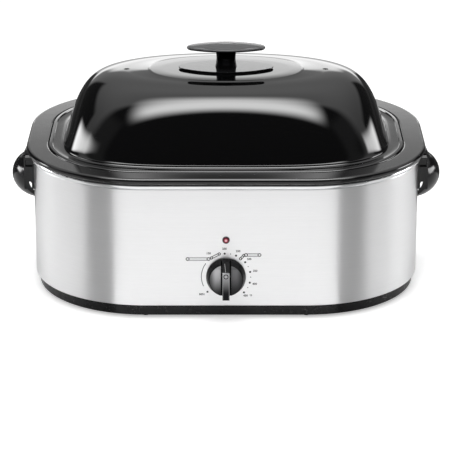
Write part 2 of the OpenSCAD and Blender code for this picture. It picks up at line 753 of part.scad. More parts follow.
module lid_shell() color([0.08, 0.08, 0.09]) difference() {
  union() {
    around() sheet([
      [dome_foot + lid_wall, flange_z, 0],
      [lid_edge - lid_roll, flange_z, 0.8],
      [lid_edge - lid_roll + 0.8, lid_z + lid_roll, 0],
      [lid_edge, lid_z + lid_roll, roll_radius],
      [lid_edge, lid_z, roll_radius],
      [lid_edge - lid_roll + 1.6, lid_z, 0]
    ], -lid_wall);
    skin(concat(
      reversed(dome_rings(lid_wall, flange_z - 0.9 * lid_wall)), lip_rings(),
      dome_rings(0, flange_z - 0.1 * lid_wall)
    ));
  }
  for (s = [-1, 1]) translate([s * vent_place, 0, dome_top - 30]) cylinder(r = vent_radius, h = 40);
  translate([0, 0, dome_top - 10]) cylinder(r = grip_screw_r + running, h = 30);
}

shield_tip = 16;
grip_tip = 12;
stem_tip = 8;
stem_waist = 1.6;

module lid_heat_shield() color([0.15, 0.15, 0.16]) difference() {
  union() {
    translate([0, 0, oval_z]) linear_extrude(shield_wall)
      polygon(oval(shield_length, shield_depth, shield_tip, -4));
    around_oval(shield_length, shield_depth, shield_tip) polygon([
      [-5, oval_z], [-1.6, oval_z], [0, shield_z - 0.9], [-0.3, shield_z], [-5, shield_z]
    ]);
  }
  translate([0, 0, oval_z - 1]) cylinder(r = grip_screw_r + running, h = 10);
}

grip_screw_r = 2.5;
grip_screw_reach = 17;

// The waisted stem and the domed top are one moulding
module lid_grip() color([0.1, 0.1, 0.1]) difference() {
  round_r = grip_edge / 2;
  skin(concat(
    [for (i = [0:8])
      raised(oval(stem_length, stem_depth, stem_tip, -stem_waist * sin(i * 22.5)),
        shield_z + stem_height * i / 8)],
    [for (g = [-90:22.5:67.5]) raised(
      oval(grip_length, grip_depth, grip_tip, round_r * (cos(g) - 1)), stem_top + round_r * (1 + sin(g)))],
    [for (k = [0.92, 0.8, 0.64, 0.44, 0.22]) raised(
      shrunk(oval(grip_length, grip_depth, grip_tip), k), stem_top + grip_edge + grip_crown * (1 - k * k))]
  ));
  translate([0, 0, shield_z - 1]) cylinder(r = grip_screw_r + running, h = 20);
}

washer = [11, 1.2];
washer_z = oval_z - lid_wall - washer[1];

module lid_washer() color("silver") translate([0, 0, washer_z]) difference() {
  cylinder(r = washer[0], h = washer[1]);
  translate([0, 0, -1]) cylinder(r = grip_screw_r + running, h = washer[1] + 2);
}

module lid_grip_screw() color("silver") translate([0, 0, washer_z]) rotate([180, 0, 0])
  screw(grip_screw_r, washer[1] + lid_wall + shield_wall + grip_screw_reach, 5, 3.2);

outer_shell();
trim_ring();
base_tray();
rubber_feet();
base_screws();
heating_well();
tie_bolt();
tie_sleeve();
tie_nut();
heater_strip();
strip_clips();
insulation_wrap();
left_handle();
right_handle();
handle_screws();
thermostat_body();
thermostat_bracket();
thermostat_screws();
thermostat_shaft();
control_knob();
knob_spring_clip();
indicator_lens();
indicator_lamp();
indicator_clip();
cord_gland();
gland_nut();
terminal_block();
thermal_fuse();
internal_leads();
roasting_pan();
lid_shell();
lid_heat_shield();
lid_grip();
lid_grip_screw();
lid_washer();
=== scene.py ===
"""Electric roaster oven: a steel body, a lift-out roasting pan and a domed lid, on a white table.

Sizes are in metres, +Z is up and the controls face -Y. Every section is drawn as an offset outward
from the body's plan, a rectangle with large round corners, and a height.
"""

import math

import bmesh
import bpy
from bpy.props import FloatProperty, FloatVectorProperty, IntProperty, PointerProperty
from mathutils import Matrix, Vector


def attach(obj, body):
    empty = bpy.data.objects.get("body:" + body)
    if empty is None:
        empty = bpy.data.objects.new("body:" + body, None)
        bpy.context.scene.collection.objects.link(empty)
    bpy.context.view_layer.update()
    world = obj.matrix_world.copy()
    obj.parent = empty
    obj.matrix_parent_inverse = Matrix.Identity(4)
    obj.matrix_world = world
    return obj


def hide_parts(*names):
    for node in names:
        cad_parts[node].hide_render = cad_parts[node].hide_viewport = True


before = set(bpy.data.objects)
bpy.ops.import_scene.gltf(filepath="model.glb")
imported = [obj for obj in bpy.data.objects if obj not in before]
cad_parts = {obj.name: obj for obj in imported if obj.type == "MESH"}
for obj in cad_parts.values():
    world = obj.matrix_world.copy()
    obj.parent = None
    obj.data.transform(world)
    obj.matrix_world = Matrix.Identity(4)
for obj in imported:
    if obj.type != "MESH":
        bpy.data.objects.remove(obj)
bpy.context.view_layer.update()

bl_info = {
    "name": "Electric roaster oven",
    "version": (1, 0, 0),
    "blender": (4, 5, 0),
    "location": "3D View > Sidebar > Roaster",
    "description": "Finishes, lid, dial and studio of an electric roaster oven",
    "category": "Object",
}

MM = 0.001

# The body's plan: half length, half depth and corner radius
SIDE = 280 * MM
BACK = 212 * MM
CORNER = 166 * MM
STRAIGHT_X = SIDE - CORNER
STRAIGHT_Y = BACK - CORNER
FRONT = -BACK

# Places on the front panel
CONTROL_Z = 64 * MM
LAMP_Z = 119 * MM
LENS_RADIUS = 5.3 * MM

# Heights above which a moulding has its satin part, whose lighter colour is painted sheen
HANDLE_TAB_Z = 180.8 * MM
GRIP_TOP_Z = 339.2 * MM

# The knob: depths from the front panel, and places from its own axis
KNOB_FACE = 14.0 * MM
KNOB_FACE_END = 15.5 * MM
KNOB_FACE_RADIUS = 22.8 * MM
KNOB_BAR_FRONT = 28.8 * MM
KNOB_BAR_HALF = 4.9 * MM
KNOB_RING_UP = 11.0 * MM


# ---- sizes and colours that a user may change ----


class RoasterFinish(bpy.types.PropertyGroup):
    """Colours and gloss of the roaster's own surfaces."""

    steel: FloatVectorProperty(
        name="Steel", description="Colour of the brushed band", subtype="COLOR",
        min=0, max=1, default=(0.86, 0.86, 0.865))
    brushing: FloatProperty(
        name="Brushing", description="Roughness of the brushed band", subtype="FACTOR",
        min=0.1, max=0.6, default=0.30)
    enamel: FloatVectorProperty(
        name="Enamel", description="Colour of the lid and the pan", subtype="COLOR",
        min=0, max=1, default=(0.002, 0.002, 0.0022))
    plastic: FloatVectorProperty(
        name="Plastic", description="Colour of handles, base and knob", subtype="COLOR",
        min=0, max=1, default=(0.005, 0.005, 0.0055))
    lens: FloatVectorProperty(
        name="Lens", description="Colour of the indicator lens", subtype="COLOR",
        min=0, max=1, default=(0.42, 0.015, 0.045))
    edge: FloatProperty(
        name="Edge softness", description="Width of the rounding on moulded edges",
        unit="LENGTH", subtype="DISTANCE", min=0.0001, max=0.001, default=0.0004)


class RoasterLid(bpy.types.PropertyGroup):
    """Form of the pressed lid."""

    ring_points: IntProperty(
        name="Ring points", description="Points round the lid", min=96, max=720, default=432)
    dome_steps: IntProperty(
        name="Dome steps", description="Rings between the dome's foot and its top",
        min=16, max=120, default=64)
    vent: FloatProperty(
        name="Vent radius", description="Radius of a steam vent", unit="LENGTH",
        subtype="DISTANCE", min=0.001, max=0.004, default=0.002)


class RoasterDial(bpy.types.PropertyGroup):
    """Marks printed round the temperature knob."""

    radius: FloatProperty(
        name="Dot circle", description="Radius of the circle of dots", unit="LENGTH",
        subtype="DISTANCE", min=0.03, max=0.04, default=0.0347)
    dot: FloatProperty(
        name="Dot radius", description="Radius of a numbered dot", unit="LENGTH",
        subtype="DISTANCE", min=0.0005, max=0.002, default=0.0015)
    figure: FloatProperty(
        name="Figure height", description="Size of the printed numbers", unit="LENGTH",
        subtype="DISTANCE", min=0.002, max=0.006, default=0.0042)
    ink: FloatVectorProperty(
        name="Ink", description="Colour of the print", subtype="COLOR",
        min=0, max=1, default=(0.008, 0.008, 0.009))


class RoasterStudio(bpy.types.PropertyGroup):
    """Light, floor and camera."""

    plain_light: FloatProperty(
        name="Plain light", description="Level of the even light on matt surfaces",
        min=0, max=1, default=0.55)
    lamp_power: FloatProperty(
        name="Lamp power", description="Power of the overhead lamp", subtype="POWER",
        min=0, max=100, default=26)
    overhead: FloatProperty(
        name="Overhead box", description="Level of the soft box that gloss reflects",
        min=0, max=20, default=12.5)
    camera_place: FloatVectorProperty(
        name="Camera place", description="Where the camera stands", unit="LENGTH",
        subtype="XYZ", default=(0.0, -3.295, 1.2366))
    camera_aim: FloatVectorProperty(
        name="Camera aim", description="Point that the camera looks at", unit="LENGTH",
        subtype="XYZ", default=(-0.0015, 0.0, 0.066))
    lens: FloatProperty(
        name="Lens", description="Focal length in millimetres", min=20, max=400, default=187.3)


# ---- shader terms ----


class Term:
    """A shader socket that takes part in Python expressions."""

    def __init__(self, graph, socket):
        self.graph = graph
        self.socket = socket

    def math(self, operation, *others):
        return self.graph.add("ShaderNodeMath", {"operation": operation}, [self, *others])

    def __add__(self, other):
        return self.math("ADD", other)

    def __sub__(self, other):
        return self.math("SUBTRACT", other)

    def __rsub__(self, other):
        return self.graph.add("ShaderNodeMath", {"operation": "SUBTRACT"}, [other, self])

    def __mul__(self, other):
        return self.math("MULTIPLY", other)

    def __truediv__(self, other):
        return self.math("DIVIDE", other)

    def __rtruediv__(self, other):
        return self.graph.add("ShaderNodeMath", {"operation": "DIVIDE"}, [other, self])

    def __abs__(self):
        return self.math("ABSOLUTE")

    def __neg__(self):
        return self * -1.0

    __radd__ = __add__
    __rmul__ = __mul__


class Graph:
    """Adds nodes to one node tree."""

    def __init__(self, tree):
        self.tree = tree
        tree.nodes.clear()

    def add(self, kind, settings=None, inputs=(), output=0):
        """Adds a node: its type, its settings, the values or links of its sockets."""
        node = self.tree.nodes.new(kind)
        for name, value in (settings or {}).items():
            if name == "stops":
                fill_ramp(node.color_ramp, value)
            else:
                setattr(node, name, value)
        pairs = inputs.items() if isinstance(inputs, dict) else enumerate(inputs)
        for key, value in pairs:
            if isinstance(value, Term):
                self.tree.links.new(value.socket, node.inputs[key])
            else:
                node.inputs[key].default_value = value
        return Term(self, node.outputs[output]) if len(node.outputs) else None

    def place(self):
        """The point in the object's own space, as three numbers."""
        point = self.add("ShaderNodeTexCoord", output="Object")
        return [self.add("ShaderNodeSeparateXYZ", None, [point], axis) for axis in range(3)]

    def vector(self, x, y, z):
        return self.add("ShaderNodeCombineXYZ", None, [x, y, z])

    def noise(self, point, scale, detail=2.0, roughness=0.5):
        """Noise from 0 to 1 at a point given as three terms."""
        inputs = {"Scale": scale, "Detail": detail, "Roughness": roughness}
        return self.add("ShaderNodeTexNoise", None, {"Vector": self.vector(*point), **inputs})

    def cells(self, point, scale, output="Distance"):
        inputs = {"Vector": self.vector(*point), "Scale": scale}
        return self.add("ShaderNodeTexVoronoi", None, inputs, output)

    def ease(self, value, low, high):
        """Rises smoothly from 0 at low to 1 at high."""
        settings = {"interpolation_type": "SMOOTHSTEP"}
        return self.add("ShaderNodeMapRange", settings, [value, low, high])

    def fade(self, value, low, high):
        """Falls smoothly from 1 at low to 0 at high."""
        return 1.0 - self.ease(value, low, high)

    def between(self, value, low, high, soft):
        """1 between low and high, with soft edges."""
        return self.ease(value, low - soft, low + soft) * self.fade(value, high - soft, high + soft)

    def distance(self, across, up):
        """How far a point is from the middle, from its two coordinates."""
        return (across * across + up * up).math("SQRT")

    def mix(self, factor, first, second):
        """A colour between two colours."""
        sides = {0: factor, 6: colour(first), 7: colour(second)}
        return self.add("ShaderNodeMix", {"data_type": "RGBA"}, sides, 2)

    def ramp(self, value, *stops):
        return self.add("ShaderNodeValToRGB", {"stops": stops}, [value])

    def bump(self, height, strength, distance):
        inputs = {"Strength": strength, "Distance": distance, "Height": height}
        return self.add("ShaderNodeBump", None, inputs)


def colour(value):
    """A colour with its alpha, or the term as it is."""
    return value if isinstance(value, Term) else (*value[:3], 1.0)


def fill_ramp(ramp, stops):
    while len(ramp.elements) < len(stops):
        ramp.elements.new(1.0)
    for element, (position, value) in zip(ramp.elements, stops):
        element.position = position
        element.color = colour(value)


def tinted(value, share):
    """A colour made lighter or darker by a share."""
    return tuple(min(1.0, part * share) for part in value[:3])


def surface(name, paint):
    """A material whose Principled sockets come from the function that paints it."""
    material = bpy.data.materials.get(name)
    if material:
        return material
    material = bpy.data.materials.new(name)
    material.use_nodes = True
    graph = Graph(material.node_tree)
    shader = graph.add("ShaderNodeBsdfPrincipled", None, paint(graph))
    graph.add("ShaderNodeOutputMaterial", None, {"Surface": shader})
    return material


# ---- finishes ----


def finish():
    """The colours and gloss that the panel sets."""
    return bpy.context.scene.roaster_finish


def brushed_steel(g):
    """Stainless sheet brushed along the body, so its highlights spread up and down."""
    x, y, z = g.place()
    fine = g.noise((x * 8.0, y * 8.0, z * 900.0), 6.0, 3.0, 0.65)
    broad = g.noise((x * 1.5, y * 1.5, z * 160.0), 5.0, 2.0)
    stain = g.noise((x, y, z), 9.0, 2.0)
    lines = 0.75 * fine + 0.25 * broad
    steel = finish().steel
    return {
        "Base Color": g.mix(g.ease(lines, 0.3, 0.7), tinted(steel, 0.965), tinted(steel, 1.02)),
        "Metallic": 1.0,
        "Roughness": finish().brushing - 0.04 + 0.08 * lines + 0.02 * stain,
        "Anisotropic": 0.75,
        "Anisotropic Rotation": 0.25,
        "Normal": g.bump(lines, 0.05, 0.0001),
    }


def polished_chrome(g):
    """Bright rolled bead, with the slight waves that rolling leaves."""
    x, y, z = g.place()
    waves = g.noise((x, y, z * 3.0), 26.0, 2.0)
    grains = g.noise((x, y, z), 700.0, 2.0)
    return {
        "Base Color": g.mix(waves, (0.80, 0.81, 0.82), (0.90, 0.90, 0.91)),
        "Metallic": 1.0,
        "Roughness": 0.13 + 0.05 * grains,
        "Normal": g.bump(waves, 0.25, 0.0006),
    }


def moulded(g, tint, roughness, scale, grain, specular=0.5):
    """Moulded plastic with a fine grain and faint handling marks."""
    x, y, z = g.place()
    grains = g.noise((x, y, z), scale, 3.0, 0.6)
    marks = g.noise((x, y, z), 45.0, 4.0, 0.7)
    return {
        "Base Color": g.mix(g.ease(marks, 0.35, 0.8), tint, tinted(tint, 1.4)),
        "Roughness": roughness - 0.04 + 0.08 * marks,
        "IOR": 1.5,
        "Specular IOR Level": specular,
        "Normal": g.bump(grains, grain, 0.0002),
    }


def base_plastic(g):
    return moulded(g, finish().plastic, roughness=0.28, scale=1500.0, grain=0.10, specular=0.28)


def foot_rubber(g):
    sockets = moulded(g, (0.020, 0.020, 0.021), roughness=0.72, scale=900.0, grain=0.35)
    sockets["Sheen Weight"] = 0.1
    return sockets


def gland_plastic(g):
    return moulded(g, (0.022, 0.022, 0.024), roughness=0.42, scale=1100.0, grain=0.2)


def shield_plastic(g):
    return moulded(g, (0.006, 0.006, 0.0065), roughness=0.10, scale=1700.0, grain=0.03)


def handle_plastic(g):
    """Glossy hood, with a satin tab on top whose lighter colour is a painted sheen."""
    x, y, z = g.place()
    sockets = moulded(g, finish().plastic, roughness=0.12, scale=1600.0, grain=0.04, specular=0.35)
    satin_tab_with_painted_sheen = g.ease(z, HANDLE_TAB_Z, HANDLE_TAB_Z + 0.8 * MM) * g.fade(abs(y), 10.0 * MM, 10.6 * MM)
    # Painted sheen: the satin tab's lighter colour
    sockets["Base Color"] = g.mix(satin_tab_with_painted_sheen, sockets["Base Color"], (0.035, 0.035, 0.037))
    sockets["Roughness"] = sockets["Roughness"] + 0.30 * satin_tab_with_painted_sheen
    return sockets


def grip_plastic(g):
    """Black stem made a black metal so it shows no reflection, which is painted shade, under a satin
    top whose lighter colour is painted sheen.
    """
    x, y, z = g.place()
    sockets = moulded(g, (0.004, 0.004, 0.0045), roughness=0.12, scale=1600.0, grain=0.04)
    top = g.ease(z, GRIP_TOP_Z, GRIP_TOP_Z + 1.0 * MM)
    # Painted sheen on the top's colour, painted shade on the metallic black stem
    sockets["Base Color"] = g.mix(top, sockets["Base Color"], (0.055, 0.055, 0.057))
    sockets["Metallic"] = 1.0 - top
    sockets["Roughness"] = sockets["Roughness"] + 0.18 * top
    return sockets


def knob_face(g, x, up):
    """Brushed metal of the knob's face, with a painted highlight high up and near the middle, paler on
    the left half.
    """
    # Painted highlight: lighter towards the top, fading towards the sides
    painted_highlight = g.ease(up, -21.0 * MM, 14.0 * MM) * (1.0 - 0.85 * g.ease(abs(x), 13.5 * MM, 23.0 * MM))
    left = g.mix(painted_highlight, (0.025, 0.025, 0.026), (0.50, 0.50, 0.51))
    right = g.mix(painted_highlight, (0.020, 0.020, 0.021), (0.16, 0.16, 0.165))
    return g.mix(g.ease(x, -1.0 * MM, 1.0 * MM), left, right)


def knob_bar(g, x, up):
    """Brushed metal of the bar's front, with painted highlights that make it paler towards its top and
    along its edges.
    """
    painted_top_highlight = g.mix(g.ease(up, -16.0 * MM, 16.0 * MM), (0.012, 0.012, 0.013), (0.34, 0.34, 0.345))
    return g.mix(g.ease(abs(x), 3.6 * MM, 4.5 * MM) * 0.5, painted_top_highlight, (0.36, 0.36, 0.365))


def knob_pointer(g, x, up, depth):
    """1 on the slightly leaning line between the bar and the knob's edge."""
    lean = 1.2 * MM + 0.16 * (up - 21.2 * MM)
    line = g.fade(abs(x + lean), 0.25 * MM, 0.45 * MM) * g.ease(depth, 15.0 * MM, 16.0 * MM)
    return line * g.ease(up, 16.6 * MM, 17.2 * MM) * g.fade(up, 25.2 * MM, 25.6 * MM)


def knob_plastic(g):
    """Dark knob: brushed face halves, a bar with a brushed front, painted highlights on both, a pale
    pointer line and a ring.
    """
    x, y, z = g.place()
    up = z - CONTROL_Z
    depth = FRONT - y
    sockets = moulded(g, finish().plastic, roughness=0.34, scale=1500.0, grain=0.08, specular=0.10)
    face = g.ease(depth, KNOB_FACE, KNOB_FACE + 0.4 * MM)
    face = face * g.fade(depth, KNOB_FACE_END, KNOB_FACE_END + 0.3 * MM)
    face = face * g.fade(g.distance(x, up), KNOB_FACE_RADIUS, KNOB_FACE_RADIUS + 0.5 * MM)
    face = face * g.ease(abs(x), 7.2 * MM, 7.4 * MM)
    bar = g.ease(depth, KNOB_BAR_FRONT, KNOB_BAR_FRONT + 0.8 * MM)
    bar = bar * g.fade(abs(x), KNOB_BAR_HALF, KNOB_BAR_HALF + 0.1 * MM)
    from_ring = g.distance(x, up - KNOB_RING_UP)
    ring = g.between(from_ring, 1.1 * MM, 1.9 * MM, 0.1 * MM) * bar
    pit = g.fade(from_ring, 3.4 * MM, 3.6 * MM) * bar
    line = knob_pointer(g, x, up, depth)
    turned = g.noise((x * 3.0, y, up * 60.0), 60.0, 2.0)
    duller = 0.3 * g.ease(up, 16.0 * MM, 16.8 * MM)
    # The face and the bar bring their painted highlights into the colour here
    tint = g.mix(face, sockets["Base Color"], knob_face(g, x, up))
    tint = g.mix(pit, g.mix(bar, tint, knob_bar(g, x, up)), (0.02, 0.02, 0.021))
    sockets["Base Color"] = g.mix(line * 0.35 + ring, tint, (0.85, 0.85, 0.86))
    sockets["Metallic"] = (face + bar - pit) * 0.85
    sockets["Roughness"] = sockets["Roughness"] + 0.08 * turned * face + duller
    return sockets


def enamel(g, roughness, wave):
    """Black vitreous enamel: deep gloss, faint orange peel and a few pale specks."""
    x, y, z = g.place()
    peel = g.noise((x, y, z), 60.0, 2.0)
    specks = g.cells((x, y, z), 260.0)
    tint = finish().enamel
    fleck = g.fade(specks, 0.03, 0.06)
    return {
        "Base Color": g.mix(fleck * 0.35, tint, (0.03, 0.03, 0.032)),
        "Roughness": roughness + 0.02 * peel,
        "IOR": 1.54,
        "Normal": g.bump(peel, wave, 0.0004),
    }


def lid_enamel(g):
    """The enamel is thin and matt round the two vents."""
    sockets = enamel(g, roughness=0.035, wave=0.02)
    x, y, z = g.place()
    round_vent = g.fade(g.distance(abs(x) - VENT_PLACE, y), 4.0 * MM, 4.6 * MM)
    sockets["Roughness"] = sockets["Roughness"] + 0.55 * round_vent
    return sockets


def pan_enamel(g):
    """The pan's rim is a little duller than the lid."""
    return enamel(g, roughness=0.07, wave=0.03)


def plated_zinc(g):
    x, y, z = g.place()
    bloom = g.noise((x, y, z), 90.0, 4.0, 0.6)
    scratches = g.noise((x * 3.0, y, z * 8.0), 400.0, 2.0)
    return {
        "Base Color": g.mix(bloom, (0.52, 0.53, 0.55), (0.70, 0.70, 0.69)),
        "Metallic": 1.0,
        "Roughness": 0.26 + 0.16 * bloom,
        "Normal": g.bump(scratches, 0.12, 0.0002),
    }


def aluminised_sheet(g):
    """The well's sheet: spangled, straw-coloured near the heated band."""
    x, y, z = g.place()
    spangle = g.cells((x, y, z), 240.0, "Color")
    spangle = g.add("ShaderNodeSeparateColor", None, [spangle])
    heat = g.between(z, 62 * MM, 136 * MM, 20 * MM)
    sheet = g.mix(spangle, (0.55, 0.56, 0.57), (0.68, 0.69, 0.70))
    return {
        "Base Color": g.mix(heat * 0.5, sheet, (0.60, 0.52, 0.40)),
        "Metallic": 1.0,
        "Roughness": 0.34 + 0.12 * spangle,
        "Normal": g.bump(spangle, 0.06, 0.0003),
    }


def mica_strip(g):
    """Layers of mica wound with the resistance ribbon, which shows as even darker turns."""
    x, y, z = g.place()
    flakes = g.cells((x, y, z * 2.0), 320.0, "Color")
    flakes = g.add("ShaderNodeSeparateColor", None, [flakes])
    turns = g.add("ShaderNodeTexWave", {"bands_direction": "X"}, {
        "Vector": g.vector(x + y, x * 0.0, z * 0.15), "Scale": 90.0, "Distortion": 0.3})
    plate = g.mix(flakes, (0.42, 0.31, 0.18), (0.60, 0.47, 0.30))
    return {
        "Base Color": g.mix(g.ease(turns, 0.6, 0.8), plate, (0.22, 0.19, 0.16)),
        "Roughness": 0.38 + 0.2 * flakes,
        "Coat Weight": 0.3,
        "Normal": g.bump(turns, 0.3, 0.0004),
    }


def glass_wool(g):
    """Felted glass fibre, cream with yellow binder."""
    x, y, z = g.place()
    clumps = g.noise((x, y, z), 60.0, 4.0, 0.65)
    strands = g.noise((x * 4.0, y * 4.0, z), 420.0, 4.0, 0.8)
    return {
        "Base Color": g.mix(clumps, (0.72, 0.66, 0.44), (0.88, 0.85, 0.72)),
        "Roughness": 0.9,
        "Sheen Weight": 0.4,
        "Normal": g.bump(clumps * 0.6 + strands * 0.4, 0.8, 0.0015),
    }


def steatite(g):
    x, y, z = g.place()
    pores = g.cells((x, y, z), 900.0)
    return {
        "Base Color": g.mix(g.ease(pores, 0.05, 0.3), (0.62, 0.60, 0.55), (0.84, 0.83, 0.79)),
        "Roughness": 0.36 + 0.2 * pores,
        "Normal": g.bump(pores, 0.15, 0.0003),
    }


def lens_red(g):
    """Red lens: a dark rim, a facet ring and a pale middle, painted as the glow of the lamp behind it.
    """
    x, y, z = g.place()
    up = z - LAMP_Z
    share = g.distance(x, up) / LENS_RADIUS
    red = finish().lens
    rim = tinted(red, 0.18)
    # The pale middle of this ramp is painted lamp glow
    tint = g.ramp(share, (0.0, (0.86, 0.50, 0.55)), (0.22, (0.80, 0.38, 0.44)), (0.40, red),
                  (0.62, rim), (0.85, (0.04, 0.004, 0.014)))
    facets = g.cells((x, y * 0.0, up), 900.0)
    return {
        "Base Color": tint,
        "Roughness": 0.12 + 0.08 * facets,
        "Coat Weight": 0.6,
        "IOR": 1.49,
        "Normal": g.bump(facets, 0.25, 0.0003),
    }


def fuse_metal(g):
    sockets = plated_zinc(g)
    sockets["Roughness"] = 0.22
    return sockets


def lead_sleeve(g):
    """Braided sleeve over the leads."""
    x, y, z = g.place()
    braid = g.add("ShaderNodeTexWave", {"bands_direction": "DIAGONAL"}, {
        "Vector": g.vector(x, y, z), "Scale": 260.0, "Distortion": 1.5})
    return {
        "Base Color": g.mix(braid, (0.42, 0.06, 0.04), (0.62, 0.14, 0.09)),
        "Roughness": 0.62,
        "Normal": g.bump(braid, 0.6, 0.0004),
    }


def printed_ink(g):
    x, y, z = g.place()
    wear = g.noise((x, y, z), 900.0, 3.0)
    ink = bpy.context.scene.roaster_dial.ink
    return {
        "Base Color": g.mix(g.ease(wear, 0.6, 0.9), ink, tinted(ink, 2.0)),
        "Roughness": 0.45 + 0.1 * wear,
        "Normal": g.bump(wear, 0.05, 0.0001),
    }


# Each of the record's slots, with the function that paints it
FINISHES = {
    "brushed_band": brushed_steel,
    "polished_trim": polished_chrome,
    "base_plastic": base_plastic,
    "foot_rubber": foot_rubber,
    "zinc_fastener": plated_zinc,
    "well_sheet": aluminised_sheet,
    "strip_mica": mica_strip,
    "glass_wool": glass_wool,
    "handle_plastic": handle_plastic,
    "knob_plastic": knob_plastic,
    "ceramic": steatite,
    "lens_red": lens_red,
    "gland_plastic": gland_plastic,
    "fuse_metal": fuse_metal,
    "lead_sleeve": lead_sleeve,
    "pan_enamel": pan_enamel,
    "lid_enamel": lid_enamel,
    "grip_plastic": grip_plastic,
    "shield_plastic": shield_plastic,
}


def slot_surface(slot):
    return surface(slot + "_finish", FINISHES[slot])


def dress(node, edge=0.0):
    """Gives a node the finish of its own slot, and softens its edges by that width."""
    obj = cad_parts[node]
    for index, material in enumerate(obj.data.materials):
        slot = material.name.split(".")[0].removesuffix("_finish")
        obj.data.materials[index] = slot_surface(slot)
    if edge:
        weld = obj.modifiers.new("Weld", "WELD")
        weld.merge_threshold = 0.002 * MM
        bevel = obj.modifiers.new("Edges", "BEVEL")
        bevel.width = edge
        bevel.segments = 3
        bevel.limit_method = "ANGLE"
        bevel.angle_limit = math.radians(40)
        bevel.use_clamp_overlap = True
        normals = obj.modifiers.new("Normals", "WEIGHTED_NORMAL")
        normals.keep_sharp = False
        obj.data.shade_smooth()


# ---- meshes ----


def link_piece(name, mesh, slot, body, finish_surface=None):
    """Puts a mesh into the scene as a piece that rides on a body."""
    obj = bpy.data.objects.new(name, mesh)
    bpy.context.scene.collection.objects.link(obj)
    mesh.materials.append(finish_surface or slot_surface(slot))
    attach(obj, body)
    return obj


def plan_reach(n, direction):
    """Distance from the middle to the plan moved outward by n, in that direction."""
    c, s = abs(math.cos(direction)), abs(math.sin(direction))
    if s * (SIDE + n) <= c * STRAIGHT_Y:
        return (SIDE + n) / c
    if c * (BACK + n) <= s * STRAIGHT_X:
        return (BACK + n) / s
    along = c * STRAIGHT_X + s * STRAIGHT_Y
    return along + math.sqrt(along ** 2 - STRAIGHT_X ** 2 - STRAIGHT_Y ** 2 + (CORNER + n) ** 2)


def oval_reach(a, b, power, direction):
    """The same for a superellipse with half axes a and b."""
    c, s = abs(math.cos(direction)), abs(math.sin(direction))
    return ((c / a) ** power + (s / b) ** power) ** (-1 / power)


def ring_directions(count):
    """Directions that space the points of a ring evenly round the plan."""
    turns = [math.tau * i / count for i in range(count)]
    return [math.atan2(BACK * math.sin(t), SIDE * math.cos(t)) for t in turns]


def level_ring(directions, reach, z):
    return [(reach(d) * math.cos(d), reach(d) * math.sin(d), z) for d in directions]


def round_corner(before, at, after, radius, steps=6):
    """Points of the arc that rounds a corner of a section."""
    if radius == 0:
        return [at]
    a, b, c = Vector(before), Vector(at), Vector(after)
    u, v = (a - b).normalized(), (c - b).normalized()
    half = u.angle(v) / 2
    centre = b + (u + v).normalized() * radius / math.sin(half)
    start = b + u * radius / math.tan(half) - centre
    turn = math.pi - 2 * half
    way = -1 if u.x * v.y - u.y * v.x > 0 else 1
    points = []
    for i in range(steps + 1):
        t = way * turn * i / steps
        points.append((centre.x + start.x * math.cos(t) - start.y * math.sin(t),
                       centre.y + start.x * math.sin(t) + start.y * math.cos(t)))
    return points


def rounded(path):
    """A section's path of (n, z, radius) with its corners rounded."""
    flat = [(n, z) for n, z, radius in path]
    points = [flat[0]]
    for i in range(1, len(path) - 1):
        points += round_corner(flat[i - 1], flat[i], flat[i + 1], path[i][2])
    return points + [flat[-1]]


def moved_right(points, distance):
    """The path moved to its right by a distance."""
    moved = []
    for i, point in enumerate(points):
        here = Vector(point)
        a = (here - Vector(points[i - 1])).normalized() if i else None
        b = (Vector(points[i + 1]) - here).normalized() if i < len(points) - 1 else a
        a = a or b
        left = Vector((-a.y - b.y, a.x + b.x)) / (1 + a.dot(b))
        moved.append(tuple(here - left * distance))
    return moved


def closed_loft(name, rings):
    """A closed skin through rings of equally many points, the last joined to the first."""
    count = len(rings[0])
    vertices = [point for ring in rings for point in ring]
    faces = []
    for k in range(len(rings)):
        here, there = k * count, (k + 1) % len(rings) * count
        for i in range(count):
            j = (i + 1) % count
            faces.append((here + i, here + j, there + j, there + i))
    mesh = bpy.data.meshes.new(name)
    mesh.from_pydata(vertices, [], faces)
    mesh.update()
    return mesh


def smooth_by_angle(mesh, degrees):
    mesh.shade_smooth()
    mesh.set_sharp_from_angle(angle=math.radians(degrees))


# ---- lid ----

LID_WALL = 1 * MM
FLANGE_Z = 210.5 * MM
DOME_FOOT = -42.3 * MM
FOOT_FILLET = 3.5 * MM
DOME_LOW = FLANGE_Z + FOOT_FILLET
DOME_TOP = 308.2 * MM
OVAL_RISE = 0.8 * MM
OVAL_HALF = (115 * MM, 71 * MM)
OVAL_SLOPE = 4 * MM
FOOT_POWER = 3.517
OVAL_POWER = 2.12
DOME_LEAN = (0.178, 0.297)
DOME_SWELL = 2.6
SCREW_HOLE = 2.55 * MM
VENT_PLACE = 145 * MM

# Rings: inside the oval's slope, on it as shares of its width and rise, on the dome, and on its foot
OVAL_RINGS = (20 * MM, 1.2 * MM)
SLOPE_RINGS = ((0.85, 0.94), (0.5, 0.5), (0.15, 0.06))
DOME_ANGLE = 86.4
DOME_SPACING = 0.8
FOOT_ANGLES = (70, 56, 42, 28, 14, 0)

# The flange and its rolled edge, from the dome outward, as (offset, height, radius)
FLANGE_PATH = [
    (-38.0 * MM, 210.5 * MM, 0), (-28.7 * MM, 210.5 * MM, 0.8 * MM), (-27.9 * MM, 212.3 * MM, 0),
    (-22.7 * MM, 212.3 * MM, 2.6 * MM), (-22.7 * MM, 206.3 * MM, 2.6 * MM),
    (-27.1 * MM, 206.3 * MM, 0),
]


def dome_half(v, wall):
    foot = DOME_FOOT - FOOT_FILLET / 2 - wall
    return ((SIDE + foot) * math.cos(v) ** DOME_LEAN[0], (BACK + foot) * math.cos(v) ** DOME_LEAN[1])


